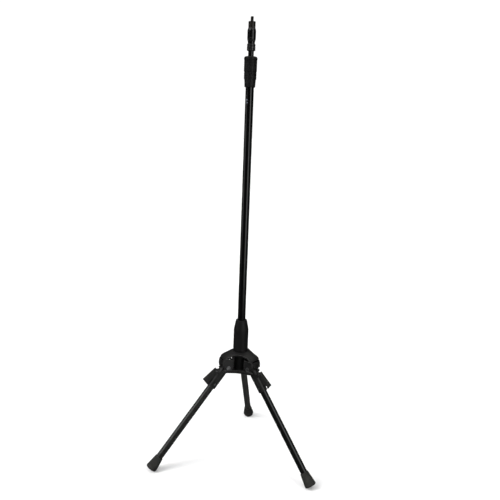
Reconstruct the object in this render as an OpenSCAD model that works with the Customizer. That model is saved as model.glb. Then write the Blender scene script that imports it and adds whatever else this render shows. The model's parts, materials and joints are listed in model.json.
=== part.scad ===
// Telescopic microphone stand on a folding three-leg base.
// Millimetres. The origin lies on the mast axis at floor level, +Z points up the mast,
// and +Y points along the rear leg.

/* [Stance] */
// Angle between an open leg and the vertical
leg_angle = 37.7; // [35:0.1:40]
// Distance along a leg from its hinge to the end face of its foot
leg_reach = 410; // [380:1:450]
// Distance from the mast axis to the leg hinges
hinge_radius = 49; // [48.5:0.1:50]

/* [Mast] */
// Outside diameter of the outer tube
outer_tube_d = 25.4; // [25:0.1:26]
// Height of the top end of the outer tube above the floor
outer_tube_top_z = 1290; // [1100:1:1400]
// Outside diameter of the inner tube
inner_tube_d = 17; // [16.6:0.1:17]
// Length of the inner tube
inner_tube_length = 742; // [500:1:800]
// Height of the coupler's lower end above the clutch's top end
coupler_lift = 16.4; // [13:0.1:100]
// Wall thickness of both mast tubes
mast_wall = 1.5; // [1.2:0.1:1.5]

/* [Hub] */
// Largest distance from the mast axis to the end of a hub arm
hub_reach = 71.5; // [71.2:0.1:72]
// Height of the hub from its underside to its crown
hub_height = 66.3; // [65.5:0.1:67]
// Distance from the mast axis to the cover's edge midway between two arms
cover_waist = 36; // [35:0.5:38]
// Distance from the mast axis to the sill's edge midway between two arms
sill_waist = 42; // [40:0.5:43]
// Radius of the arched openings between the arms, seen from the side
arch_r = 59.5; // [58:0.5:60]
// Thickness of the hub cover's shell
cover_wall = 4; // [3:0.5:4.5]
// Open gap between the hub cover and the casting under it, at the arm ends
parting_gap = 1.6; // [1:0.1:2]

/* [Legs] */
// Outside diameter of a leg tube
leg_tube_d = 22.3; // [22:0.1:22.4]
// Wall thickness of a leg tube
leg_wall = 1.2; // [1:0.1:1.5]
// Outside diameter of a leg socket's barrel
socket_d = 30; // [29.6:0.1:30.2]
// Length of a leg socket from the hinge to its lower lip
socket_length = 85; // [84:0.5:88]
// Largest diameter of a rubber foot
foot_d = 37; // [35:0.5:40]
// Length of a rubber foot
foot_length = 45.7; // [40:0.1:50]

/* [Release levers] */
// Width across a lever's two flanges
lever_w = 13; // [12.8:0.1:13]
// Angle that a lever's plate makes with its leg
lever_flare = 12.6; // [12:0.1:13]
// Length of a lever's plate
lever_plate_length = 55; // [50:0.5:58]

/* [Clutch and sleeve] */
// Outside diameter of the clutch grip under its rounded top
grip_d = 39.2; // [38.6:0.1:40]
// Length of the clutch grip
grip_length = 66.4; // [66.4:0.1:68]
// Outside diameter of the lower sleeve
sleeve_d = 48.5; // [47:0.1:50]
// Length of the lower sleeve
sleeve_length = 106; // [95:0.5:112]

/* [Coupler] */
// Outside diameter of the sliding coupler sleeve
coupler_d = 25.7; // [25.4:0.1:26]
// Outside diameter of the adapter's collar
adapter_d = 21.4; // [21.2:0.1:22]
// Height of the adapter's collar
adapter_collar_h = 19.5; // [18:0.1:24]
// Major diameter of the microphone thread
thread_d = 9.525; // [9.525]
// Length of the microphone thread above the collar
thread_length = 14.3; // [12:0.1:16]

/* [Hidden] */
$fn = 96;
eps = 0.01;
slide_fit = 0.05;
close_fit = 0.02;

LEG_NAMES = ["rear", "left", "right"];
LEG_AZIMUTHS = [90, 210, 330];

// Rubber foot: rounded rim and the height of its end-face centre when it rests on the floor
foot_r = foot_d / 2;
foot_rim_r = 4;
foot_rest_z = foot_rim_r * (1 - cos(leg_angle)) + (foot_r - foot_rim_r) * sin(leg_angle);
foot_mouth_r = 13.5;
foot_floor = 8;

// Hinge height, and the hub's heights measured from its underside
hinge_z = foot_rest_z + leg_reach * cos(leg_angle);
hub_z = round(hinge_z - 17.1);
hub_top_z = hub_z + hub_height;
parting_z = hub_z + 45;
dome_r = 30;
dome_x = hub_reach - dome_r;
dome_z = hub_z + 28;
dome_blend_angle = 66;
toe_r = 62;
toe_h = 10;
crown_r = 24.3;
cover_void_r = 61;
sill_void_r = 104;
arch_z = hub_z + 3;
bay_half_w = 15.4;
lug_t = 6.3;
lug_out = bay_half_w + lug_t;
lug_start = 32;
lug_end = 62;
lug_h = 33;
sill_t = 5;
sill_lip_h = 10;
rim_t = 4.5;
bay_start = 31;
bay_end = hub_reach - rim_t;
end_wall_z = hub_z + 19.2;
neck_r = 20;
neck_top_z = hub_top_z + 66.7;
tube_hole_r = outer_tube_d / 2 + close_fit;
tube_bolt_r = 2.5;
tube_bolt_z = hub_top_z + 41.2;
outer_tube_bottom_z = hub_z + 5;

// Screws that hold the cover down on the casting, one in the root of each arm
screw_at = 25;
screw_r = 2;
screw_head_r = 3.6;
screw_head_h = 2.4;
screw_sink = 3;
screw_pillar_r = 4.5;
screw_seat_z = parting_z + 4;
screw_tip_z = screw_seat_z + 10;

// Hinge pin and its locking notches
pin_r = 6;
pin_head_r = 6.8;
pin_head_t = 2.2;
notch_r = 2.2;
notch_centre_r = 6.9;

// Leg socket
socket_r = socket_d / 2;
knuckle_r = 17;
knuckle_w = 30;
leg_tube_r = leg_tube_d / 2;
leg_tube_start = 33;
leg_tube_end = leg_reach - foot_floor - 0.5;
rivet_d = 4;
rivet_at = 70;
rivet_head_r = 3.6;

// Release lever: places are [outward from the leg axis, down the leg from its hinge]
lever_pivot = [20.5, 31];
lever_top = [26.4, 25];
lever_hub_r = 5;
lever_pin_r = 2;
lever_plate_t = 2.4;
lever_flange_t = 1.9;
pawl_w = 8;
ear_t = 3;
ear_y = lever_w / 2 + 0.3;
eye_r = 3;
seat_at = 62;
seat_r = 4.2;
seat_out = 16;
lever_end = [
    lever_top[0] + lever_plate_length * sin(lever_flare),
    lever_top[1] + lever_plate_length * cos(lever_flare)
];

// Clutch
grip_z = outer_tube_top_z - 39.9;
grip_top_z = grip_z + grip_length;
grip_r = grip_d / 2;
grip_bead_r = grip_r + 0.6;
grip_rib_r = grip_r - 0.6;
grip_round_r = 5;
collar_z = grip_z - 23.2;
spigot_r = 15;
cone_z = outer_tube_top_z + 6;
cone_h = 15;
cone_r1 = 14;
cone_r2 = 10.5;
wiper_r = 11.5;
wiper_h = 3;

// Lower sleeve
sleeve_r = sleeve_d / 2;
sleeve_top_r = 18.25;
sleeve_taper_h = 32.8;
sleeve_top_z = hub_top_z + sleeve_length;

// Inner tube and what rides on it
inner_r = inner_tube_d / 2;
coupler_z = grip_top_z + coupler_lift;
inner_top_z = coupler_z + 28.9;
inner_bottom_z = inner_top_z - inner_tube_length;
bush_h = 30;
bush_r = outer_tube_d / 2 - mast_wall - 0.08;
plug_flange_r = 10.4;
plug_flange_t = 3.8;
stop_ring_h = 3;

// Quick-release coupler
coupler_r = coupler_d / 2;
base_ring_r = 12.75;
base_ring_h = 19.5;
guide_r = 10.75;
core_r = 8.7;
core_step_z = coupler_z + 33;
core_top_z = coupler_z + 64;
socket_bore_r = 5.5;
coupler_sleeve_z = coupler_z + 26.6;
land_z = coupler_z + 50;
land_h = 8;
land_r = core_r + slide_fit;
relief_r = 10.2;
ball_r = 1.6;
ball_z = land_z + 4;
ball_centre_r = land_r - ball_r - 0.01;
snap_z = land_z + land_h + 0.2;
coil_r = 9.75;
coil_wire_r = 0.7;
collar_bottom_z = core_top_z + 0.1;
collar_top_z = collar_bottom_z + adapter_collar_h;
shank_r = socket_bore_r - slide_fit;
thread_r = thread_d / 2;
thread_root_r = thread_r - 0.6;
thread_engaged = 11.9;

// ---------- shared shapes ----------

// Upright cylinder between two heights, on the mast axis unless it is moved
module post(r, z0, z1) {
    translate([0, 0, z0]) cylinder(r = r, h = z1 - z0);
}

// Upright tube between two heights
module pipe(r_out, r_in, z0, z1) {
    difference() {
        post(r_out, z0, z1);
        post(r_in, z0 - 1, z1 + 1);
    }
}

// Cylinder centred on the origin along Y
module cross_bar(r, length) {
    rotate([90, 0, 0]) cylinder(r = r, h = length, center = true);
}

// Places children once on each hub arm, with +X along the arm
module on_each_arm() {
    for (a = LEG_AZIMUTHS) rotate([0, 0, a]) children();
}

// Frame of one leg: origin on its hinge, +Z up the leg, +X outward, +Y along the hinge pin
module on_leg(i) {
    rotate([0, 0, LEG_AZIMUTHS[i]])
        translate([hinge_radius, 0, hinge_z])
            rotate([0, -leg_angle, 0]) children();
}

// Side outline in a leg's frame, from points [outward, down the leg], given a width along Y
module side_plate(points, width) {
    rotate([90, 0, 0])
        linear_extrude(height = width, center = true)
            polygon([for (p = points) [p[0], -p[1]]]);
}

// Places children at a point [outward, down the leg] of a leg's frame
module at_side(p) {
    translate([p[0], 0, -p[1]]) children();
}

// Height of a compression spring's wire after t turns, level over its two end turns
function coil_height(t, turns, rise) =
    let (u = t / turns, e = 1 / turns)
    rise * max(0, min(1, (u - e / 2) / (1 - e)));

// Compression spring of round wire along +Z from z = 0
module coil(radius, wire, length, turns) {
    per_turn = 15;
    sides = 6;
    count = per_turn * turns;
    rise = length - 2 * wire;
    rings = [
        for (k = [0 : count], s = [0 : sides - 1])
            let (a = 360 * k / per_turn, b = 360 * s / sides)
            let (z = wire + coil_height(k / per_turn, turns, rise))
            let (r = radius + wire * cos(b))
            [r * cos(a), r * sin(a), z + wire * sin(b)]
    ];
    skin = [
        for (k = [0 : count - 1], s = [0 : sides - 1])
            let (n = (s + 1) % sides)
            [k * sides + s, k * sides + n, (k + 1) * sides + n, (k + 1) * sides + s]
    ];
    first = [for (s = [sides - 1 : -1 : 0]) s];
    last = [for (s = [0 : sides - 1]) count * sides + s];
    polyhedron(points = rings, faces = concat(skin, [first, last]), convexity = 8);
}

// ---------- hub ----------

// Plan of the hub, shrunk by inset: a disc hollowed on three sides by wide circles
module hub_plan(waist, void_r, inset) {
    difference() {
        circle(hub_reach + 2);
        for (a = LEG_AZIMUTHS)
            rotate([0, 0, a + 60]) translate([waist + void_r, 0]) circle(void_r + inset);
    }
}

module cover_column(z0, z1) {
    translate([0, 0, z0])
        linear_extrude(height = z1 - z0) hub_plan(cover_waist, cover_void_r, 0);
}

module sill_column(inset, z0, z1) {
    translate([0, 0, z0])
        linear_extrude(height = z1 - z0) hub_plan(sill_waist, sill_void_r, inset);
}

// Turned outline of the whole hub, rounded above and bevelled below, shrunk by inset
module hub_dome(inset) {
    wall = hub_reach - inset;
    r = dome_r - inset;
    rotate_extrude() {
        translate([dome_x, dome_z]) circle(r);
        polygon([
            [0, hub_z],
            [toe_r, hub_z],
            [wall - 3, hub_z + toe_h / 3],
            [wall, hub_z + toe_h],
            [wall, dome_z],
            [dome_x + r * cos(dome_blend_angle), dome_z + r * sin(dome_blend_angle)],
            [crown_r, hub_top_z - inset],
            [0, hub_top_z - inset]
        ]);
    }
}

// Three level tunnels that give the openings between the arms their arched sides
module arches() {
    for (a = LEG_AZIMUTHS)
        rotate([0, 0, a + 60])
            translate([bay_start, 0, arch_z])
                rotate([0, 90, 0]) cylinder(r = arch_r, h = hub_reach);
}

// Places children at the three cover screws
module at_screws() {
    on_each_arm() translate([screw_at, 0, 0]) children();
}

// Wall round the tip of each arm, above the open leg and between two arches
module end_walls() {
    difference() {
        intersection() {
            hub_dome(0);
            cover_column(end_wall_z, hub_top_z);
        }
        post(bay_end, end_wall_z - 1, hub_top_z);
        arches();
    }
}

// Floor plate with a raised lip along its three hollow sides
module hub_floor() {
    intersection() {
        hub_dome(0);
        difference() {
            sill_column(0, hub_z, hub_z + sill_lip_h);
            sill_column(rim_t, hub_z + sill_t, hub_z + hub_height);
        }
    }
}

// Pairs of upright lugs that carry the hinge pins, each running on above the bay to its end wall
module hub_lugs() {
    intersection() {
        hub_dome(0.4);
        on_each_arm()
            for (s = [-1, 1])
                translate([0, s * (lug_out - lug_t / 2) - lug_t / 2, 0]) {
                    translate([lug_start, 0, hub_z]) cube([lug_end - lug_start, lug_t, lug_h]);
                    translate([lug_start, 0, end_wall_z])
                        cube([bay_end + 1 - lug_start, lug_t, hub_height]);
                }
    }
}

// Room for a leg's knuckle and barrel through its whole swing
module leg_bay() {
    translate([bay_start, -bay_half_w, hub_z - 1])
        cube([bay_end - bay_start, 2 * bay_half_w, hub_height]);
    translate([bay_start, -bay_half_w, hub_z - 1])
        cube([hub_reach, 2 * bay_half_w, end_wall_z - hub_z + 1]);
}

module hub_casting() {
    color("#1c1c1d") difference() {
        union() {
            post(neck_r, hub_z, neck_top_z);
            hub_floor();
            difference() {
                union() {
                    end_walls();
                    hub_lugs();
                }
                post(hub_reach + 2, parting_z - parting_gap / 2, neck_top_z);
            }
            at_screws() post(screw_pillar_r, hub_z, screw_seat_z - 0.1);
        }
        post(tube_hole_r, hub_z - 1, neck_top_z + 1);
        on_each_arm() leg_bay();
        for (i = [0 : 2]) on_leg(i) cross_bar(pin_r + close_fit, 2 * lug_out + 2);
        at_screws() {
            post(screw_r + close_fit, hub_z - 1, screw_seat_z + 1);
            post(screw_head_r + 0.2, hub_z - 1, hub_z + screw_sink);
        }
        translate([0, 0, tube_bolt_z]) cross_bar(tube_bolt_r + close_fit, 3 * neck_r);
    }
}

module hub_cover() {
    color("#1f1f20") difference() {
        union() {
            intersection() {
                difference() {
                    hub_dome(0);
                    hub_dome(cover_wall);
                }
                cover_column(parting_z + parting_gap / 2, hub_top_z + 1);
            }
            post(crown_r - 0.2, hub_top_z - 9, hub_top_z);
            at_screws() post(screw_pillar_r, screw_seat_z, hub_top_z - 5);
        }
        post(neck_r + 0.1, hub_z, hub_top_z + 1);
        at_screws() post(screw_r + close_fit, hub_z, screw_tip_z + 0.2);
    }
}

module cover_screws() {
    color("#3a3a3c") at_screws() {
        post(screw_head_r, hub_z + screw_sink - screw_head_h, hub_z + screw_sink);
        post(screw_r, hub_z + screw_sink - 1, screw_tip_z);
    }
}

// Headed hinge pins, each with one notch for the open leg and one for the folded leg
module pivot_pins() {
    color("#505154")
        for (i = [0 : 2])
            on_leg(i) difference() {
                union() {
                    cross_bar(pin_r, 2 * lug_out);
                    for (s = [-1, 1])
                        translate([0, s * (lug_out + pin_head_t / 2), 0])
                            cross_bar(pin_head_r, pin_head_t);
                }
                for (a = [0, leg_angle])
                    rotate([0, a, 0])
                        translate([notch_centre_r, 0, 0]) cross_bar(notch_r, pawl_w + 1);
            }
}

module base_plug() {
    color("#161617") {
        post(17, hub_z - 2.6, hub_z);
        post(outer_tube_d / 2 - mast_wall - 0.1, hub_z - 1, hub_z + 16);
    }
}

// ---------- mast ----------

module lower_sleeve() {
    color("#232324") rotate_extrude() difference() {
        polygon([
            [0, hub_top_z],
            [sleeve_r - 0.8, hub_top_z],
            [sleeve_r, hub_top_z + 0.8],
            [sleeve_r, sleeve_top_z - sleeve_taper_h],
            [sleeve_top_r, sleeve_top_z - 1],
            [sleeve_top_r - 1, sleeve_top_z],
            [0, sleeve_top_z]
        ]);
        translate([0, hub_top_z - 1]) square([neck_r + 0.05, neck_top_z - hub_top_z + 1.2]);
        translate([0, hub_top_z - 1]) square([outer_tube_d / 2 + 0.03, sleeve_length + 2]);
    }
}

module outer_tube() {
    color("#0e0e0f") difference() {
        pipe(outer_tube_d / 2, outer_tube_d / 2 - mast_wall, outer_tube_bottom_z, outer_tube_top_z);
        translate([0, 0, tube_bolt_z]) cross_bar(tube_bolt_r + close_fit, 2 * outer_tube_d);
    }
}

module tube_bolt() {
    color("#48484b") translate([0, 0, tube_bolt_z]) cross_bar(tube_bolt_r, 2 * neck_r - 0.8);
}

module clutch_collar() {
    color("#1b1b1c") rotate_extrude() difference() {
        polygon([
            [0, collar_z],
            [15.1, collar_z],
            [16.3, collar_z + 1.2],
            [17.5, grip_z - 0.2],
            [spigot_r, grip_z - 0.2],
            [spigot_r, outer_tube_top_z],
            [0, outer_tube_top_z]
        ]);
        translate([0, collar_z - 1]) square([tube_hole_r, 80]);
    }
}

// Half outline of the collet's conical seat, drawn inward by some distance
module seat_cone(inward) {
    polygon([
        [0, cone_z],
        [cone_r1 - inward, cone_z],
        [cone_r2 - inward, cone_z + cone_h],
        [0, cone_z + cone_h]
    ]);
}

module clutch_grip() {
    rib_top = grip_z + 23.4;
    bead_z = grip_top_z - grip_round_r;
    color("#1a1a1b") rotate_extrude() difference() {
        union() {
            translate([0, grip_z]) square([grip_rib_r, grip_top_z - grip_z - grip_round_r]);
            translate([0, rib_top]) square([grip_r, bead_z - rib_top - 5]);
            translate([0, bead_z - 5]) square([grip_bead_r, 5]);
            translate([grip_bead_r - grip_round_r, bead_z]) circle(grip_round_r);
            translate([0, bead_z]) square([grip_bead_r - grip_round_r, grip_round_r]);
        }
        for (k = [0 : 3]) translate([grip_rib_r + 0.3, grip_z + 3.4 + 5.4 * k]) circle(1);
        for (k = [0, 1]) translate([grip_r + 0.5, rib_top + 16 + 6 * k]) circle(0.9);
        translate([0, grip_z - 1]) square([spigot_r + 0.1, outer_tube_top_z - grip_z + 2]);
        translate([0, outer_tube_top_z]) square([cone_r1, cone_z - outer_tube_top_z + eps]);
        seat_cone(0);
        translate([0, grip_top_z - 6]) square([inner_r + 0.5, 20]);
        translate([0, grip_top_z - wiper_h]) square([wiper_r, 20]);
    }
}

module clutch_collet() {
    color("#b9b7ae") difference() {
        rotate_extrude() difference() {
            union() {
                translate([0, outer_tube_top_z + 1.5]) square([12.4, 6]);
                intersection() {
                    seat_cone(0.06);
                    square([cone_r1, cone_z + cone_h - 1.5]);
                }
            }
            square([inner_r + slide_fit, cone_z + 2 * cone_h]);
        }
        for (a = [0 : 60 : 300])
            rotate([0, 0, a])
                translate([inner_r - 1, -0.6, cone_z - 1]) cube([10, 1.2, 2 * cone_h]);
    }
}

module dust_wiper() {
    color("#38383a")
        pipe(wiper_r - close_fit, inner_r + 0.08, grip_top_z - wiper_h + 0.02, grip_top_z - 0.4);
}

module guide_bush() {
    color("#d8d6cc")
        pipe(bush_r, inner_r + slide_fit, inner_bottom_z + 0.1, inner_bottom_z + bush_h);
}

module inner_tube() {
    color("#19191a") pipe(inner_r, inner_r - mast_wall, inner_bottom_z, inner_top_z);
}

module tube_plug() {
    color("#2a2a2b") {
        post(plug_flange_r, inner_bottom_z - plug_flange_t, inner_bottom_z);
        post(inner_r - mast_wall - close_fit, inner_bottom_z - 1, inner_bottom_z + 12);
    }
}

module stop_ring() {
    z = inner_bottom_z + bush_h + 0.2;
    color("#6c6d70") pipe(plug_flange_r, inner_r + close_fit, z, z + stop_ring_h);
}

// ---------- quick-release coupler ----------

module coupler_core() {
    groove_z = coupler_z + 13;
    color("#151516") difference() {
        rotate_extrude() difference() {
            polygon([
                [0, coupler_z],
                [base_ring_r - 0.8, coupler_z],
                [base_ring_r, coupler_z + 0.8],
                [base_ring_r, coupler_z + base_ring_h - 1],
                [base_ring_r - 1, coupler_z + base_ring_h],
                [guide_r, coupler_z + base_ring_h],
                [guide_r, core_step_z],
                [core_r, core_step_z],
                [core_r, core_top_z],
                [0, core_top_z]
            ]);
            translate([base_ring_r + 0.3, groove_z]) circle(1.1);
            translate([0, coupler_z - 1]) square([inner_r + close_fit, inner_top_z - coupler_z + 1.1]);
            translate([0, core_step_z + 4]) square([socket_bore_r, 40]);
            translate([core_r - 0.5, snap_z - 0.1]) square([2, 1.3]);
        }
        for (a = [0, 120, 240])
            rotate([0, 0, a + 30])
                translate([0, 0, ball_z])
                    rotate([0, 90, 0]) cylinder(r = ball_r + slide_fit, h = core_r + 1);
    }
}

module coupler_sleeve() {
    top_z = core_top_z - 0.1;
    color("#121213") rotate_extrude() difference() {
        polygon([
            [0, coupler_sleeve_z],
            [11.3, coupler_sleeve_z],
            [coupler_r, coupler_sleeve_z + 7.5],
            [coupler_r, top_z - 6],
            [coupler_r - 1.5, top_z],
            [0, top_z]
        ]);
        translate([0, coupler_sleeve_z - 1]) square([guide_r + 0.1, land_z - coupler_sleeve_z + 1]);
        translate([0, land_z - 1]) square([land_r, land_h + 2]);
        translate([0, land_z + land_h]) square([relief_r, 20]);
    }
}

module coupler_spring() {
    color("#8d8e91")
        translate([0, 0, core_step_z + 0.1])
            coil(coil_r, coil_wire_r, land_z - core_step_z - 0.2, 6);
}

module coupler_balls() {
    color("#a9abaf")
        for (a = [0, 120, 240])
            rotate([0, 0, a + 30]) translate([ball_centre_r, 0, ball_z]) sphere(ball_r);
}

module snap_ring() {
    color("#5d5e61") difference() {
        pipe(9.8, core_r - 0.48, snap_z, snap_z + 1.1);
        translate([0, -1.5, snap_z - 1]) cube([12, 3, 4]);
    }
}

module stud_adapter() {
    r = adapter_d / 2;
    color("#241f1c") rotate_extrude() difference() {
        polygon([
            [0, core_step_z + 6],
            [shank_r - 1, core_step_z + 6],
            [shank_r, core_step_z + 7],
            [shank_r, collar_bottom_z],
            [r - 0.4, collar_bottom_z],
            [r, collar_bottom_z + 0.4],
            [r, collar_top_z - 0.6],
            [r - 0.6, collar_top_z],
            [0, collar_top_z]
        ]);
        translate([shank_r + 0.9, ball_z]) circle(1.8);
        translate([0, collar_top_z - thread_engaged - 0.1]) square([thread_root_r + close_fit, 40]);
    }
}

module threaded_stud() {
    tip_z = collar_top_z + thread_length;
    tip_h = 1.3;
    color("#2b2927") {
        post(thread_root_r, collar_top_z - thread_engaged, collar_top_z + 1);
        post(thread_r, collar_top_z, tip_z - tip_h);
        translate([0, 0, tip_z - tip_h]) cylinder(r1 = thread_r, r2 = thread_r - tip_h, h = tip_h);
    }
}

// ---------- legs ----------

module lever_ears() {
    for (s = [-1, 1])
        translate([0, s * (ear_y + ear_t / 2), 0]) {
            at_side(lever_pivot) cross_bar(lever_hub_r, ear_t);
            side_plate([[9, 25], [20.5, 26], [20.5, 36], [9, 40]], ear_t);
        }
}

module leg_socket(i) {
    color("#1b1b1c") on_leg(i) difference() {
        union() {
            cross_bar(knuckle_r, knuckle_w);
            translate([0, 0, 2 - socket_length]) cylinder(r = socket_r, h = socket_length - 2);
            translate([0, 0, -socket_length])
                cylinder(r1 = socket_r - 1.6, r2 = socket_r, h = 2);
            lever_ears();
            at_side([11, seat_at]) rotate([0, 90, 0]) cylinder(r = seat_r, h = seat_out - 11);
            at_side([11, seat_at]) rotate([0, 90, 0]) cylinder(r = 2, h = seat_out - 8);
        }
        cross_bar(pin_r + 0.06, 2 * knuckle_w);
        translate([0, 0, -socket_length - 1])
            cylinder(r = leg_tube_r + close_fit, h = socket_length - leg_tube_start + 2);
        translate([5.5, -pawl_w / 2 - 0.5, -36]) cube([15, pawl_w + 1, 42]);
        at_side(lever_pivot) cross_bar(lever_pin_r + close_fit, 2 * knuckle_w);
        at_side([0, rivet_at]) cross_bar(rivet_d / 2 + close_fit, 2 * knuckle_w);
    }
}

module release_lever(i) {
    flange = [
        lever_top,
        lever_end,
        [18.8, lever_end[1] + 5.5],
        [15.3, 38],
        [17, 27]
    ];
    inner_top = lever_top + [-lever_plate_t, 0.5];
    inner_end = lever_end + [-lever_plate_t, 0.5];
    pawl = [
        [19, 24],
        [24, 31],
        [18, 34],
        [9.6, 25],
        [6.2, 2.4],
        [6.2, -1],
        [7.2, -2.6],
        [10.6, -2.6],
        [13.6, 21.5]
    ];
    color("#1d1d1e") on_leg(i) difference() {
        union() {
            side_plate([lever_top, lever_end, inner_end, inner_top], lever_w);
            for (s = [-1, 1])
                translate([0, s * (lever_w - lever_flange_t) / 2, 0])
                    side_plate(flange, lever_flange_t);
            at_side(lever_pivot) cross_bar(lever_hub_r, lever_w);
            side_plate(pawl, pawl_w);
        }
        at_side(lever_pivot) cross_bar(lever_pin_r + 0.06, 2 * lever_w);
        at_side([26, lever_end[1] - 2])
            translate([0, -lever_w / 2, 0]) cross_bar(eye_r, 2 * lever_flange_t + 1);
    }
}

module lever_pin(i) {
    color("#6a6b6e")
        on_leg(i) at_side(lever_pivot) cross_bar(lever_pin_r, 2 * (ear_y + ear_t) + 0.8);
}

module lever_spring(i) {
    color("#8d8e91")
        on_leg(i)
            at_side([seat_out + 0.05, seat_at])
                rotate([0, 90, 0]) coil(3.3, 0.5, 14.9, 6);
}

module leg_tube(i) {
    color("#0f0f10") on_leg(i) difference() {
        pipe(leg_tube_r, leg_tube_r - leg_wall, -leg_tube_end, -leg_tube_start);
        at_side([0, rivet_at]) cross_bar(rivet_d / 2 + close_fit, 2 * knuckle_w);
    }
}

module leg_rivet(i) {
    color("#4a4a4d") on_leg(i) at_side([0, rivet_at]) {
        cross_bar(rivet_d / 2, socket_d + 0.6);
        for (s = [-1, 1])
            translate([0, s * (socket_r + 0.8), 0]) cross_bar(rivet_head_r, 1);
    }
}

module foot_cap(i) {
    color("#2a2a29") on_leg(i) translate([0, 0, -leg_reach]) rotate_extrude() difference() {
        union() {
            polygon([
                [0, 0],
                [foot_r - foot_rim_r, 0],
                [foot_r, foot_rim_r],
                [foot_mouth_r, foot_length - 1.2],
                [foot_mouth_r - 0.8, foot_length],
                [0, foot_length]
            ]);
            translate([foot_r - foot_rim_r, foot_rim_r]) circle(foot_rim_r);
        }
        translate([0, foot_floor]) square([leg_tube_r + close_fit, foot_length]);
    }
}

// ---------- the stand ----------

hub_casting();
hub_cover();
cover_screws();
pivot_pins();
base_plug();
lower_sleeve();
outer_tube();
tube_bolt();
clutch_collar();
clutch_grip();
clutch_collet();
dust_wiper();
guide_bush();
inner_tube();
tube_plug();
stop_ring();
coupler_core();
coupler_sleeve();
coupler_spring();
coupler_balls();
snap_ring();
stud_adapter();
threaded_stud();
for (i = [0 : 2]) {
    leg_socket(i);
    release_lever(i);
    lever_pin(i);
    lever_spring(i);
    leg_tube(i);
    leg_rivet(i);
    foot_cap(i);
}
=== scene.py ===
import json
import math

import bmesh
import bpy
from mathutils import Matrix, Vector

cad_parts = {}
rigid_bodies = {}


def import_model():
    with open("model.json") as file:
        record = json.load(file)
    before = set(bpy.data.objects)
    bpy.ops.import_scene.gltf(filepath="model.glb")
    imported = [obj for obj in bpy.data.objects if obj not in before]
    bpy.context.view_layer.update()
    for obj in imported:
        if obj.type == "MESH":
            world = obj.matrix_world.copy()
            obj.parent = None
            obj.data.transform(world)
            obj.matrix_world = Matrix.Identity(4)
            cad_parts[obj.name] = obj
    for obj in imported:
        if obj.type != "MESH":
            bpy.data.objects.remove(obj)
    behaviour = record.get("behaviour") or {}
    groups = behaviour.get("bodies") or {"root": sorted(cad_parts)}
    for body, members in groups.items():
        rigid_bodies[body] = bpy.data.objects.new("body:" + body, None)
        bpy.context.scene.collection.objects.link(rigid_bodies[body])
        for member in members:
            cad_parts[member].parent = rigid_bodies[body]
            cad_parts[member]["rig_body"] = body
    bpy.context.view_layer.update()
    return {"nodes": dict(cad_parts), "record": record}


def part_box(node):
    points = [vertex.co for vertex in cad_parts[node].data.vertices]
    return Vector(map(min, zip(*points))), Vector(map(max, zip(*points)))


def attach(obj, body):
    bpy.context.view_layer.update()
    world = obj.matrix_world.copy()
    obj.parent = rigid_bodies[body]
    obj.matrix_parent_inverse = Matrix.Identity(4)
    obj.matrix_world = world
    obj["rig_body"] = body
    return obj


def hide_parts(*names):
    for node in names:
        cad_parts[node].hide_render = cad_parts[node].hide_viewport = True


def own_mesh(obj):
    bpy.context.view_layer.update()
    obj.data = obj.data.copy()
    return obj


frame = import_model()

NODES = frame["nodes"]
SLOTS = {part["node"]: part["material_slot"] for part in frame["record"]["subparts"]}
MM = 0.001
LEGS = {"rear": 90, "left": 210, "right": 330}
LEG_ANGLE = 37.7

# Measures in millimetres, the same as in part.scad
HINGE_RADIUS, LEG_REACH = 49.0, 410.0
OUTER_TUBE_TOP = 1290.0
FOOT_R, FOOT_RIM, FOOT_MOUTH_R, FOOT_LENGTH, FOOT_FLOOR = 18.5, 4.0, 13.5, 45.7, 8.0
SPRING_DOWN_LEG, SPRING_SEAT, SPRING_LENGTH = 62, 16.05, 14.9
PIN_BORE_R = 6.06
HINGE_Z = (
    FOOT_RIM * (1 - math.cos(math.radians(LEG_ANGLE)))
    + (FOOT_R - FOOT_RIM) * math.sin(math.radians(LEG_ANGLE))
    + LEG_REACH * math.cos(math.radians(LEG_ANGLE))
)


def node_z(node):
    """Lowest and highest point of a CAD node, in millimetres."""
    lo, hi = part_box(node)
    return lo.z / MM, hi.z / MM


# ---------- camera ----------


def place_camera():
    """The photo's pinhole camera, as fitted to the mast, the legs and the feet."""
    heading, pitch, roll = (math.radians(a) for a in (-7.19, -11.57, 2.16))
    forward = Vector(
        (
            math.sin(heading) * math.cos(pitch),
            math.cos(heading) * math.cos(pitch),
            math.sin(pitch),
        )
    )
    right = forward.cross(Vector((0, 0, 1))).normalized()
    up = right.cross(forward)
    x_axis = right * math.cos(roll) + up * math.sin(roll)
    y_axis = up * math.cos(roll) - right * math.sin(roll)
    data = bpy.data.cameras.new("camera")
    sensor_width, focal_length, picture_width = 36, 596, 500
    data.sensor_width = sensor_width
    data.lens = focal_length / picture_width * sensor_width
    data.clip_end = 200
    camera = bpy.data.objects.new("camera", data)
    bpy.context.scene.collection.objects.link(camera)
    turn = Matrix((x_axis, y_axis, -forward)).transposed()
    camera.matrix_world = Matrix.Translation((0.2534, -1.8547, 1.1065)) @ turn.to_4x4()
    bpy.context.scene.camera = camera


# ---------- mesh helpers ----------


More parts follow.
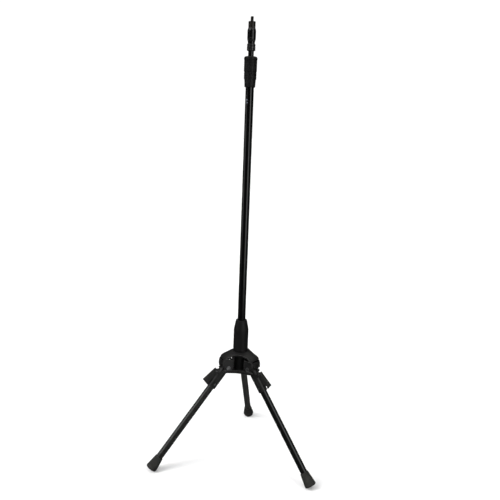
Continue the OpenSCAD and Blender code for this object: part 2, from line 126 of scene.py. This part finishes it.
def corner(before, at, after, radius, steps=5):
    """Points of a rounded corner in a profile, or the corner itself if it can't be rounded."""
    a, b = Vector(before) - Vector(at), Vector(after) - Vector(at)
    if radius <= 0 or a.length < 1e-6 or b.length < 1e-6:
        return [at]
    half = a.angle(b) / 2
    if half > math.radians(88) or half < math.radians(2):
        return [at]
    reach = min(radius / math.tan(half), a.length * 0.49, b.length * 0.49)
    radius = reach * math.tan(half)
    a.normalize()
    b.normalize()
    middle = Vector(at) + (a + b).normalized() * (radius / math.sin(half))
    start = Vector(at) + a * reach - middle
    end = Vector(at) + b * reach - middle
    turn = start.angle_signed(end)
    points = []
    for k in range(steps + 1):
        c, s = math.cos(-turn * k / steps), math.sin(-turn * k / steps)
        points.append(
            (middle.x + start.x * c - start.y * s, middle.y + start.x * s + start.y * c)
        )
    return points


def rounded(profile):
    """A closed profile of (radius, height, rounding) as plain points."""
    n = len(profile)
    out = []
    for i, (r, z, k) in enumerate(profile):
        before, after = profile[i - 1][:2], profile[(i + 1) % n][:2]
        out += corner(before, (r, z), after, k)
    return out


def new_piece(name, mesh, node, material, sharp=32):
    """Links a mesh as a piece that stands for a CAD node, on that node's body."""
    mesh.shade_smooth()
    if sharp:
        mesh.set_sharp_from_angle(angle=math.radians(sharp))
    piece = bpy.data.objects.new(name, mesh)
    bpy.context.scene.collection.objects.link(piece)
    mesh.materials.append(material)
    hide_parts(node)
    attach(piece, NODES[node]["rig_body"])
    return piece


def grid_mesh(name, rings, matrix=None, closed=True):
    """A mesh from rings of points; a ring of one point is a pole."""
    bm = bmesh.new()
    matrix = matrix or Matrix.Identity(4)
    rows = [[bm.verts.new(matrix @ (Vector(p) * MM)) for p in ring] for ring in rings]
    pairs = list(zip(rows, rows[1:] + rows[:1])) if closed else list(zip(rows, rows[1:]))
    for a, b in pairs:
        n = max(len(a), len(b))
        for k in range(n):
            j = (k + 1) % n
            if len(a) == 1 and len(b) == 1:
                break
            if len(a) == 1:
                bm.faces.new((a[0], b[j], b[k]))
            elif len(b) == 1:
                bm.faces.new((a[k], a[j], b[0]))
            else:
                bm.faces.new((a[k], a[j], b[j], b[k]))
    bmesh.ops.recalc_face_normals(bm, faces=bm.faces)
    mesh = bpy.data.meshes.new(name)
    bm.to_mesh(mesh)
    bm.free()
    return mesh


def lathe(name, profile, matrix=None, sides=96):
    """Turned solid from a closed profile of (radius, height, rounding)."""
    rings = []
    for r, z in rounded(profile):
        if r < 1e-4:
            rings.append([(0, 0, z)])
        else:
            rings.append(
                [
                    (
                        r * math.cos(2 * math.pi * k / sides),
                        r * math.sin(2 * math.pi * k / sides),
                        z,
                    )
                    for k in range(sides)
                ]
            )
    return grid_mesh(name, rings, matrix)


def coil_mesh(name, radius, wire, bottom, length, turns, matrix=None, per_turn=28, sides=10):
    """Round wire wound along +Z, level over its two end turns."""
    rise = length - 2 * wire
    count = int(per_turn * turns)
    rings = [[(radius, 0, bottom + wire)]]
    for k in range(count + 1):
        t = k / per_turn
        u = (t / turns - 0.5 / turns) / (1 - 1 / turns)
        h = bottom + wire + rise * max(0.0, min(1.0, u))
        a = 2 * math.pi * t
        ring = []
        for s in range(sides):
            b = 2 * math.pi * s / sides
            r = radius + wire * math.cos(b)
            ring.append((r * math.cos(a), r * math.sin(a), h + wire * math.sin(b)))
        rings.append(ring)
    rings.append([(radius * math.cos(a), radius * math.sin(a), h)])
    return grid_mesh(name, rings, matrix, closed=False)


def cast_mesh(name, node, voxel, passes, keep, blocks=()):
    """A CAD node's shape, with any blocks added, its edges rounded as on a casting or moulding."""
    source = NODES[node].data.copy()
    bm = bmesh.new()
    bm.from_mesh(source)
    for block in blocks:
        bmesh.ops.create_cube(bm, size=1, matrix=block)
    bmesh.ops.remove_doubles(bm, verts=bm.verts, dist=2e-6)
    bm.to_mesh(source)
    bm.free()
    work = bpy.data.objects.new(name + "_work", source)
    bpy.context.scene.collection.objects.link(work)
    remesh = work.modifiers.new("remesh", "REMESH")
    remesh.mode = "VOXEL"
    remesh.voxel_size = voxel * MM
    smooth = work.modifiers.new("smooth", "SMOOTH")
    smooth.factor = 0.5
    smooth.iterations = passes
    thin = work.modifiers.new("thin", "DECIMATE")
    thin.ratio = keep
    graph = bpy.context.evaluated_depsgraph_get()
    mesh = bpy.data.meshes.new_from_object(work.evaluated_get(graph))
    mesh.name = name
    mesh.materials.clear()
    bpy.data.objects.remove(work)
    bpy.data.meshes.remove(source)
    return mesh


def leg_matrix(leg):
    """Frame of a leg in metres: origin on its hinge, +Z up the leg, +X outward."""
    return (
        Matrix.Rotation(math.radians(LEGS[leg]), 4, "Z")
        @ Matrix.Translation((HINGE_RADIUS * MM, 0, HINGE_Z * MM))
        @ Matrix.Rotation(math.radians(-LEG_ANGLE), 4, "Y")
    )


# ---------- materials ----------


class Graph:
    """Short calls for building the nodes of a material or of the world."""

    def __init__(self, owner, place="Object"):
        owner.use_nodes = True
        self.tree = owner.node_tree
        self.place = self.add("ShaderNodeTexCoord").outputs[place]

    def add(self, kind, **settings):
        node = self.tree.nodes.new(kind)
        for key, value in settings.items():
            setattr(node, key, value)
        return node

    def link(self, value, socket):
        if isinstance(value, (int, float, tuple)):
            socket.default_value = value
        else:
            self.tree.links.new(value, socket)

    def stretched(self, scale):
        node = self.add("ShaderNodeMapping")
        node.inputs["Scale"].default_value = scale
        self.link(self.place, node.inputs["Vector"])
        return node.outputs["Vector"]

    def noise(self, scale, detail=3.0, roughness=0.55, place=None):
        node = self.add("ShaderNodeTexNoise")
        node.inputs["Scale"].default_value = scale
        node.inputs["Detail"].default_value = detail
        node.inputs["Roughness"].default_value = roughness
        self.link(place or self.place, node.inputs["Vector"])
        return node.outputs["Fac"]

    def cells(self, scale):
        node = self.add("ShaderNodeTexVoronoi", feature="F1")
        node.inputs["Scale"].default_value = scale
        self.link(self.place, node.inputs["Vector"])
        return node.outputs["Distance"]

    def math(self, operation, a, b=0.0, c=None, clamp=False):
        node = self.add("ShaderNodeMath", operation=operation, use_clamp=clamp)
        self.link(a, node.inputs[0])
        self.link(b, node.inputs[1])
        if c is not None:
            self.link(c, node.inputs[2])
        return node.outputs[0]

    def remap(self, value, lo, hi, to_lo=0.0, to_hi=1.0):
        node = self.add("ShaderNodeMapRange")
        self.link(value, node.inputs["Value"])
        ends = {"From Min": lo, "From Max": hi, "To Min": to_lo, "To Max": to_hi}
        for key, number in ends.items():
            node.inputs[key].default_value = number
        return node.outputs["Result"]

    def mix(self, factor, a, b):
        node = self.add("ShaderNodeMix", data_type="RGBA")
        self.link(factor, node.inputs["Factor"])
        self.link(a, node.inputs["A"])
        self.link(b, node.inputs["B"])
        return node.outputs["Result"]

    def bump(self, height, distance, under=None):
        node = self.add("ShaderNodeBump")
        node.inputs["Distance"].default_value = distance
        self.link(height, node.inputs["Height"])
        if under is not None:
            self.link(under, node.inputs["Normal"])
        return node.outputs["Normal"]

    def near(self, centre, radius):
        """1 at a point in metres, falling to 0 at a radius."""
        node = self.add("ShaderNodeVectorMath", operation="DISTANCE")
        self.link(self.place, node.inputs[0])
        node.inputs[1].default_value = centre
        return self.remap(node.outputs["Value"], radius, radius * 0.4)

    def geometry(self, output):
        return self.add("ShaderNodeNewGeometry").outputs[output]


def grey(value, tint=(1.0, 1.0, 1.0)):
    return (value * tint[0], value * tint[1], value * tint[2], 1.0)


def surface(
    name,
    colour,
    rough,
    spec=0.2,
    metal=0.0,
    grain=(1500, 0.00002),
    peel=(90, 0.00004),
    blotch=0.25,
    wear=0.0,
    wear_colour=grey(0.09),
    dust=0.0,
    dust_colour=grey(0.10, (1.0, 0.97, 0.86)),
    scratches=0.0,
    chips=(),
    axis_scale=(1.0, 1.0, 0.03),
    pebble=None,
):
    """Painted, moulded or plated surface with grain, blotches, rubbed edges, scratches and dust.

    grain, peel and pebble are (scale, bump height in metres), from fine to coarse relief;
    chips are (centre in metres, radius, colour).
    """
    material = bpy.data.materials.new(name)
    g = Graph(material)
    shader = material.node_tree.nodes["Principled BSDF"]
    patches = g.noise(14, 6, 0.65)
    fine = g.noise(grain[0], 3)
    tone = g.remap(patches, 0.3, 0.7, 1 - blotch, 1 + blotch)
    brightest = tuple(2 * c for c in colour[:3]) + (1.0,)
    base = g.mix(g.math("MULTIPLY", tone, 0.5), grey(0.0), brightest)
    roughness = g.remap(patches, 0.3, 0.7, rough - 0.07, rough + 0.07)
    if scratches:
        lines = g.noise(420, 2, 0.6, g.stretched(axis_scale))
        mark = g.math("MULTIPLY", g.remap(lines, 0.66, 0.74), g.remap(patches, 0.45, 0.6))
        mark = g.math("MULTIPLY", mark, scratches, clamp=True)
        base = g.mix(mark, base, wear_colour)
        roughness = g.math("ADD", roughness, g.math("MULTIPLY", mark, 0.2))
    if wear:
        edge = g.remap(g.geometry("Pointiness"), 0.508, 0.545)
        spots = g.remap(g.noise(160, 5, 0.7), 0.42, 0.62)
        worn = g.math("MULTIPLY", g.math("MULTIPLY", edge, spots), wear, clamp=True)
        base = g.mix(worn, base, wear_colour)
    if dust:
        split = g.add("ShaderNodeSeparateXYZ")
        g.link(g.geometry("Normal"), split.inputs[0])
        facing = g.remap(split.outputs["Z"], -0.2, 0.9)
        powder = g.remap(g.noise(55, 8, 0.7), 0.35, 0.75)
        film = g.math("MULTIPLY", g.math("MULTIPLY_ADD", facing, 0.7, 0.3), powder)
        film = g.math("MULTIPLY", film, dust, clamp=True)
        base = g.mix(film, base, dust_colour)
        roughness = g.math("ADD", roughness, g.math("MULTIPLY", film, 0.35))
    for centre, radius, chip_colour in chips:
        torn = g.remap(g.noise(700, 4), 0.3, 0.7, -0.35, 0.35)
        ragged = g.math("ADD", g.near(centre, radius), torn)
        chip = g.remap(ragged, 0.45, 0.6)
        base = g.mix(chip, base, chip_colour)
    normal = g.bump(g.noise(peel[0], 2), peel[1])
    if pebble:
        normal = g.bump(g.cells(pebble[0]), pebble[1], normal)
    normal = g.bump(fine, grain[1], normal)
    roughness = g.math("ADD", roughness, g.remap(fine, 0.3, 0.7, -0.03, 0.03), clamp=True)
    g.link(base, shader.inputs["Base Color"])
    g.link(roughness, shader.inputs["Roughness"])
    g.link(normal, shader.inputs["Normal"])
    shader.inputs["Metallic"].default_value = metal
    shader.inputs["Specular IOR Level"].default_value = spec
    return material


CHIP = grey(0.10, (0.85, 0.95, 1.15))
MATERIALS = {
    "black_casting": surface(
        "black_casting", grey(0.0040), 0.36, 0.25, grain=(900, 0.00010), peel=(330, 0.00022),
        wear=0.8, wear_colour=grey(0.055), dust=0.08, scratches=0.25,
    ),
    "black_tube": surface(
        "black_tube", grey(0.0008), 0.16, 0.28, grain=(1600, 0.00001), peel=(120, 0.00003),
        scratches=0.35, wear_colour=grey(0.030), dust=0.008,
        chips=[((-0.0062, -0.0111, 1.1895), 0.0040, CHIP), ((-0.0052, -0.0116, 1.1810), 0.0034, CHIP)],
    ),
    "leg_paint": surface(
        "leg_paint", grey(0.0016), 0.15, 0.36, grain=(1600, 0.00001), peel=(110, 0.00004),
        scratches=0.5, wear_colour=grey(0.05), dust=0.04,
    ),
    "black_steel": surface(
        "black_steel", grey(0.0010), 0.20, 0.26, grain=(2200, 0.00001),
        wear=0.7, wear_colour=grey(0.16), scratches=0.5, axis_scale=(0.06, 0.06, 1.0),
    ),
    "bronzed_steel": surface(
        "bronzed_steel", grey(0.0050, (1.12, 1.0, 0.70)), 0.34, 0.18,
        grain=(2200, 0.00002), wear=0.5, wear_colour=grey(0.08, (1.05, 0.95, 0.85)),
        scratches=0.4, axis_scale=(0.06, 0.06, 1.0),
    ),
    "zinc_steel": surface(
        "zinc_steel", grey(0.05, (0.97, 0.99, 1.03)), 0.38, 0.5, metal=0.9,
        grain=(1400, 0.00003), blotch=0.35, wear=0.4, wear_colour=grey(0.3),
    ),
    "spring_steel": surface(
        "spring_steel", grey(0.22), 0.28, 0.5, metal=1.0, grain=(2500, 0.00001), blotch=0.2,
    ),
    "black_plastic": surface(
        "black_plastic", grey(0.0028), 0.50, 0.14, grain=(1800, 0.00006),
        wear=0.4, wear_colour=grey(0.04), dust=0.04,
    ),
    "grip_plastic": surface(
        "grip_plastic", grey(0.0028), 0.50, 0.14, grain=(1500, 0.00009), peel=(300, 0.00004),
        wear=0.35, wear_colour=grey(0.035), dust=0.04, scratches=0.15,
    ),
    "lever_plastic": surface(
        "lever_plastic", grey(0.006), 0.46, 0.20, grain=(1500, 0.00009),
        wear=0.5, wear_colour=grey(0.06), dust=0.12, scratches=0.3,
    ),
    "sleeve_plastic": surface(
        "sleeve_plastic", grey(0.0028), 0.52, 0.14, grain=(1700, 0.00008), peel=(60, 0.00005),
        wear=0.3, wear_colour=grey(0.03), dust=0.06,
    ),
    "wiper_rubber": surface("wiper_rubber", grey(0.02), 0.85, 0.2, grain=(1300, 0.0002)),
    "nylon": surface(
        "nylon", grey(0.62, (1.0, 0.97, 0.9)), 0.45, 0.4, grain=(1200, 0.00003), blotch=0.06
    ),
    "foot_rubber": surface(
        "foot_rubber", grey(0.0105, (1.0, 1.0, 0.93)), 0.68, 0.20, grain=(1700, 0.00012),
        pebble=(620, 0.00022), dust=0.22, wear=0.4, wear_colour=grey(0.045, (1.0, 1.0, 0.93)),
    ),
}
# The rear and left legs are dustier than the right one, in the same paint; the left leg's base colour
# is also lighter, as painted reflection of the bright floor
DUSTY_AND_PAINTED_REFLECTION_LEGS = {
    "leg_tube_rear": surface(
        "leg_paint_dusty", grey(0.014, (1.0, 1.0, 0.93)), 0.36, 0.28, peel=(110, 0.00004),
        scratches=0.6, wear_colour=grey(0.05), dust=0.32,
    ),
    # painted reflection: a lighter base colour stands in for the floor's reflection, with real dust
    # and scratches on top
    "leg_tube_left": surface(
        "leg_paint_worn_painted_reflection", grey(0.0075, (1.0, 1.0, 0.93)), 0.17, 0.36, peel=(110, 0.00004),
        scratches=0.6, wear_colour=grey(0.05), dust=0.12,
    ),
}


def finish_of(node):
    return DUSTY_AND_PAINTED_REFLECTION_LEGS.get(node) or MATERIALS[SLOTS[node]]


def turned(node, profile, matrix=None, sides=96, sharp=32):
    """A turned piece from its closed profile, in place of a CAD node."""
    mesh = lathe(node + "_turned", profile, matrix, sides)
    return new_piece("v_" + node, mesh, node, finish_of(node), sharp)


def moulded(node, voxel, passes, keep, blocks=()):
    """A cast or moulded piece with softened edges, in place of a CAD node."""
    mesh = cast_mesh(node + "_moulded", node, voxel, passes, keep, blocks)
    return new_piece("v_" + node, mesh, node, finish_of(node), 0)


def tube(node, bore_r, outer_r, lo, hi, parts, matrix=None, sides=96, top_rounding=0.3):
    """A straight tube, cut into parts along its length."""
    steps = [hi - (hi - lo) * k / parts for k in range(1, parts)]
    turned(node, [(bore_r, lo, 0.3), (outer_r, lo, 0.3)]
           + [(outer_r, z, 0) for z in reversed(steps)]
           + [(outer_r, hi, top_rounding), (bore_r, hi, top_rounding)]
           + [(bore_r, z, 0) for z in steps], matrix, sides=sides)


# ---------- mast ----------


def build_mast():
    lo, hi = node_z("lower_sleeve")
    turned("lower_sleeve", [
        (20.06, lo, 0), (23.45, lo, 0), (24.25, lo + 0.8, 0.8), (24.25, hi - 32.8, 6),
        (18.25, hi - 1.0, 1.2), (17.1, hi, 0.7), (12.75, hi, 0.3), (12.75, hi - 30, 0),
        (12.75, lo + 67.0, 0), (20.06, lo + 67.0, 0),
    ], sides=128)
    tube("outer_tube", 11.2, 12.7, *node_z("outer_tube"), 12, top_rounding=0.4)
    tube("inner_tube", 7.0, 8.5, *node_z("inner_tube"), 8, sides=80)


def groove(r, z, depth, half):
    """Profile points of a round-bottomed ring groove in a wall of radius r, going up."""
    points = [(r, z - half, 0.15)]
    for k in range(1, 6):
        a = math.pi * k / 6
        points.append((r - depth * math.sin(a), z - half * math.cos(a), 0))
    return points + [(r, z + half, 0.15)]


def build_clutch():
    lo, hi = node_z("clutch_collar")
    grip_lo, grip_hi = node_z("clutch_grip")
    turned("clutch_collar", [
        (12.75, lo, 0.3), (15.1, lo, 0.5), (16.3, lo + 1.2, 0.8), (17.5, grip_lo - 0.2, 0.4),
        (15.0, grip_lo - 0.2, 0), (15.0, hi, 0.4), (12.75, hi, 0.2),
    ], sides=112)
    rib_top, bead = grip_lo + 23.4, grip_hi - 5.0
    wall = [(15.1, grip_lo, 0.3), (18.7, grip_lo, 0.6), (19.0, grip_lo + 0.8, 0.4)]
    for k in range(4):
        wall += groove(19.0, grip_lo + 3.4 + 5.4 * k, 0.75, 0.95)
    wall += [(19.0, rib_top - 0.3, 0.2), (19.6, rib_top + 0.4, 0.5)]
    wall += groove(19.6, rib_top + 16, 0.45, 0.75)
    wall += groove(19.6, rib_top + 22, 0.45, 0.75)
    wall += [(19.6, bead - 5.2, 0.3), (20.2, bead - 4.6, 0.4), (20.2, bead, 0.5)]
    for k in range(1, 9):
        a = math.pi / 2 * k / 9
        wall.append((15.2 + 5 * math.cos(a), bead + 5 * math.sin(a), 0))
    wall += [
        (15.2, grip_hi, 0), (12.0, grip_hi, 0.5), (11.5, grip_hi - 0.5, 0.1),
        (11.5, grip_hi - 3.0, 0), (9.0, grip_hi - 3.0, 0), (9.0, grip_hi - 6.0, 0),
        (10.5, OUTER_TUBE_TOP + 21, 0), (14.0, OUTER_TUBE_TOP + 6, 0),
        (14.0, OUTER_TUBE_TOP, 0), (15.1, OUTER_TUBE_TOP, 0),
    ]
    turned("clutch_grip", wall, sides=160, sharp=38)


def build_coupler():
    lo, hi = node_z("coupler_core")
    base = [(8.52, lo, 0), (11.9, lo, 0.3), (12.75, lo + 0.8, 0.4)]
    base += groove(12.75, lo + 13, 0.75, 1.0)
    base += [
        (12.75, lo + 18.4, 0.4), (11.7, lo + 19.5, 0.4), (10.75, lo + 19.5, 0),
        (10.75, lo + 33, 0.2), (8.7, lo + 33, 0), (8.7, lo + 58.2, 0), (8.2, lo + 58.2, 0),
        (8.2, lo + 59.4, 0), (8.7, lo + 59.4, 0), (8.7, hi, 0.3), (5.5, hi, 0.4),
        (5.5, lo + 37, 0), (0, lo + 37, 0), (0, lo + 29, 0), (8.52, lo + 29, 0),
    ]
    turned("coupler_core", base, sides=112)
    lo, hi = node_z("coupler_sleeve")
    land = node_z("coupler_core")[0] + 50
    turned("coupler_sleeve", [
        (10.85, lo, 0.2), (11.3, lo, 0.3), (12.85, lo + 7.5, 1.2), (12.85, hi - 6.0, 1.0),
        (11.35, hi, 0.6), (10.2, hi, 0.3), (10.2, land + 8, 0), (8.75, land + 8, 0),
        (8.75, land, 0), (10.85, land, 0),
    ], sides=128)


def build_adapter():
    lo, hi = node_z("stud_adapter")
    step = hi - 19.5
    turned("stud_adapter", [
        (0, lo, 0), (4.45, lo, 0.3), (5.45, lo + 1, 0.3), (5.45, step - 9.0, 0.2),
        (4.9, step - 8.2, 0.3), (4.9, step - 5.8, 0.3), (5.45, step - 5.0, 0.2),
        (5.45, step, 0), (10.3, step, 0.3), (10.7, step + 0.4, 0.3),
        (10.7, step + 2.4, 0.15), (10.4, step + 2.7, 0.1), (10.4, step + 3.2, 0.1),
        (10.7, step + 3.5, 0.15), (10.7, hi - 0.6, 0.5), (10.1, hi, 0.4),
        (5.3, hi, 0.2), (4.35, hi - 0.9, 0.1), (4.35, hi - 12.0, 0), (0, hi - 12.0, 0),
    ], sides=112)
    build_thread(hi)


def build_thread(collar_top):
    """The stud with its 3/8 in, 16 turns per inch, right-hand thread."""
    lo, hi = node_z("threaded_stud")
    major, pitch, sides, step = 4.7625, 25.4 / 16, 72, 0.12
    depth = 0.61 * pitch
    rows = int((hi - lo) / step)
    rings = [[(0, 0, lo)]]
    for k in range(rows + 1):
        z = lo + (hi - lo) * k / rows
        limit = min(major, 3.5 + (hi - z) * 0.97)
        fade = min(1.0, max(0.0, (z - collar_top - 0.1) / 0.8))
        ring = []
        for s in range(sides):
            a = 2 * math.pi * s / sides
            phase = (z / pitch - s / sides) % 1.0
            ridge = min(1.0, max(0.0, (abs(phase - 0.5) * 2 - 0.10) / 0.78))
            r = major - depth * (1 - ridge)
            r = min(r, limit) * fade + min(4.14, limit) * (1 - fade)
            ring.append((r * math.cos(a), r * math.sin(a), z))
        rings.append(ring)
    rings.append([(0, 0, hi)])
    mesh = grid_mesh("threaded_stud_cut", rings, closed=False)
    new_piece("v_threaded_stud", mesh, "threaded_stud", finish_of("threaded_stud"), 40)


# ---------- legs ----------


def build_leg(leg):
    at = leg_matrix(leg)
    top, end = -33.0, -(LEG_REACH - FOOT_FLOOR - 0.5)
    tube("leg_tube_" + leg, 9.95, 11.15, end, top, 8, at, sides=80)
    z = -LEG_REACH
    sole = [(0, z + 0.5, 0), (9.0, z + 0.5, 0.3), (9.6, z, 0.3)]
    for k in range(10):
        a = -math.pi / 2 + (math.pi / 2 + 0.112) * k / 9
        r = FOOT_R - FOOT_RIM + FOOT_RIM * math.cos(a)
        sole.append((r, z + FOOT_RIM * (1 + math.sin(a)), 0))
    wall_top = z + FOOT_LENGTH - 1.2
    sole += [
        (FOOT_MOUTH_R + 0.55, wall_top - 4.9, 0.3), (FOOT_MOUTH_R + 0.25, wall_top - 4.2, 0.2),
        (FOOT_MOUTH_R, wall_top - 0.2, 0.9), (FOOT_MOUTH_R - 0.9, z + FOOT_LENGTH, 0.5),
        (11.25, z + FOOT_LENGTH, 0.3), (11.17, z + FOOT_LENGTH - 1, 0),
        (11.17, z + FOOT_FLOOR, 0), (0, z + FOOT_FLOOR, 0),
    ]
    turned("foot_cap_" + leg, sole, at, sides=112, sharp=40)
    seat = Vector((SPRING_SEAT * MM, 0, -SPRING_DOWN_LEG * MM))
    spring = at @ Matrix.Translation(seat) @ Matrix.Rotation(math.radians(90), 4, "Y")
    mesh = coil_mesh("lever_spring_wound_" + leg, 3.3, 0.5, 0.0, SPRING_LENGTH, 6, spring)
    piece = new_piece(
        "v_lever_spring_" + leg, mesh, "lever_spring_" + leg, MATERIALS["spring_steel"], 60
    )
    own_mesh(piece)
    socket = moulded("leg_socket_" + leg, 0.65, 4, 0.3)
    open_bore(socket.data, at, PIN_BORE_R)
    moulded("release_lever_" + leg, 0.42, 2, 0.3)


def open_bore(mesh, at, radius):
    """Clears the hinge bore of a socket, which the rounding has narrowed in places."""
    inverse = at.inverted()
    for vertex in mesh.vertices:
        p = inverse @ vertex.co
        distance = math.hypot(p.x, p.z)
        if 0 < distance < radius * MM:
            grow = radius * MM / distance
            vertex.co = at @ Vector((p.x * grow, p.y, p.z * grow))


def build_hub():
    # a tie across the top of each arm, between its two lugs
    floor_z = node_z("hub_casting")[0]
    ties = [
        Matrix.Rotation(math.radians(azimuth), 4, "Z")
        @ Matrix.Translation((34 * MM, 0, (floor_z + 40) * MM))
        @ Matrix.Diagonal((4 * MM, 36 * MM, 8 * MM, 1))
        for azimuth in LEGS.values()
    ]
    moulded("hub_casting", 0.8, 4, 0.3, ties)
    moulded("hub_cover", 0.7, 4, 0.4)


def build_coupler_spring():
    lo, hi = node_z("coupler_spring")
    mesh = coil_mesh("coupler_spring_wound", 9.75, 0.7, lo, hi - lo, 6)
    piece = new_piece("v_coupler_spring", mesh, "coupler_spring", MATERIALS["spring_steel"], 60)
    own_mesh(piece)


# ---------- stage ----------


def sun_light(name, source, strength, angle):
    data = bpy.data.lights.new(name, "SUN")
    data.energy = strength
    data.angle = math.radians(angle)
    light = bpy.data.objects.new(name, data)
    light.rotation_mode = "QUATERNION"
    light.rotation_quaternion = Vector(source).to_track_quat("Z", "Y")
    light.visible_glossy = False
    bpy.context.scene.collection.objects.link(light)


def stage_piece(name, mesh, colour, emission):
    piece = bpy.data.objects.new(name, mesh)
    bpy.context.scene.collection.objects.link(piece)
    material = bpy.data.materials.new(name + "_paper")
    g = Graph(material)
    shader = material.node_tree.nodes["Principled BSDF"]
    tone = g.remap(g.noise(0.8, 3), 0.3, 0.7)
    base = g.mix(tone, grey(colour - 0.01), grey(colour + 0.01))
    g.link(base, shader.inputs["Base Color"])
    shader.inputs["Roughness"].default_value = 0.9
    shader.inputs["Specular IOR Level"].default_value = 0.1
    shader.inputs["Emission Color"].default_value = grey(1.0)
    shader.inputs["Emission Strength"].default_value = emission
    mesh.materials.append(material)
    piece.visible_glossy = False
    piece.visible_shadow = False
    return piece


def build_stage():
    """A pale floor, a white backdrop that only the camera sees, and two wide soft suns."""
    mesh = bpy.data.meshes.new("floor")
    bm = bmesh.new()
    bmesh.ops.create_circle(bm, cap_ends=True, radius=60, segments=96)
    bm.to_mesh(mesh)
    bm.free()
    stage_piece("floor", mesh, 0.86, 0.08).location.z = -0.0004
    mesh = bpy.data.meshes.new("backdrop")
    bm = bmesh.new()
    bmesh.ops.create_icosphere(bm, subdivisions=4, radius=70)
    bm.to_mesh(mesh)
    bm.free()
    backdrop = stage_piece("backdrop", mesh, 0.05, 1.0)
    backdrop.visible_diffuse = False
    backdrop.visible_transmission = False
    sun_light("key", (-0.75, -0.65, 1.0), 1.9, 50)
    sun_light("fill", (0.9, -0.35, 0.8), 0.3, 50)
    bpy.context.scene.world = studio_world()
    bpy.context.scene.view_settings.view_transform = "Standard"


def studio_world():
    """Dim surroundings with narrow upright panels at both sides and a wide glow overhead."""
    world = bpy.data.worlds.new("studio")
    g = Graph(world, place="Generated")
    split = g.add("ShaderNodeSeparateXYZ")
    g.link(g.place, split.inputs[0])
    height = split.outputs["Z"]
    level = g.add("ShaderNodeVectorMath", operation="MULTIPLY")
    g.link(g.place, level.inputs[0])
    level.inputs[1].default_value = (1, 1, 0)
    flat = g.add("ShaderNodeVectorMath", operation="NORMALIZE")
    g.link(level.outputs[0], flat.inputs[0])
    total = g.remap(height, 0.45, 0.95, 0.045, 0.90)
    # azimuth and half width in degrees; heights where it starts, is full, fades and ends; strength
    panels = (
        (-158, 15, -0.21, -0.15, 0.03, 0.07, 2.0),
        (-144, 11, 0.27, 0.36, 0.75, 0.85, 6.0),
        (-43, 10, -0.30, -0.24, 0.75, 0.85, 4.6),
    )
    for azimuth, half, start, full, fade, end, strength in panels:
        dot = g.add("ShaderNodeVectorMath", operation="DOT_PRODUCT")
        g.link(flat.outputs[0], dot.inputs[0])
        a = math.radians(azimuth)
        dot.inputs[1].default_value = (math.cos(a), math.sin(a), 0)
        inner, outer = (math.cos(math.radians(half + soft)) for soft in (-4, 4))
        mask = g.remap(dot.outputs["Value"], outer, inner)
        band = g.math("MULTIPLY", g.remap(height, start, full), g.remap(height, end, fade))
        glow = g.math("MULTIPLY", g.math("MULTIPLY", mask, band), strength)
        total = g.math("ADD", total, glow)
    background = world.node_tree.nodes["Background"]
    background.inputs["Color"].default_value = grey(1.0)
    g.link(total, background.inputs["Strength"])
    return world


# ---------- build ----------

for name, node in NODES.items():
    node.data.materials.clear()
    node.data.materials.append(finish_of(name))

place_camera()
build_mast()
build_clutch()
build_coupler()
build_adapter()
build_coupler_spring()
build_hub()
for leg in LEGS:
    build_leg(leg)
build_stage()
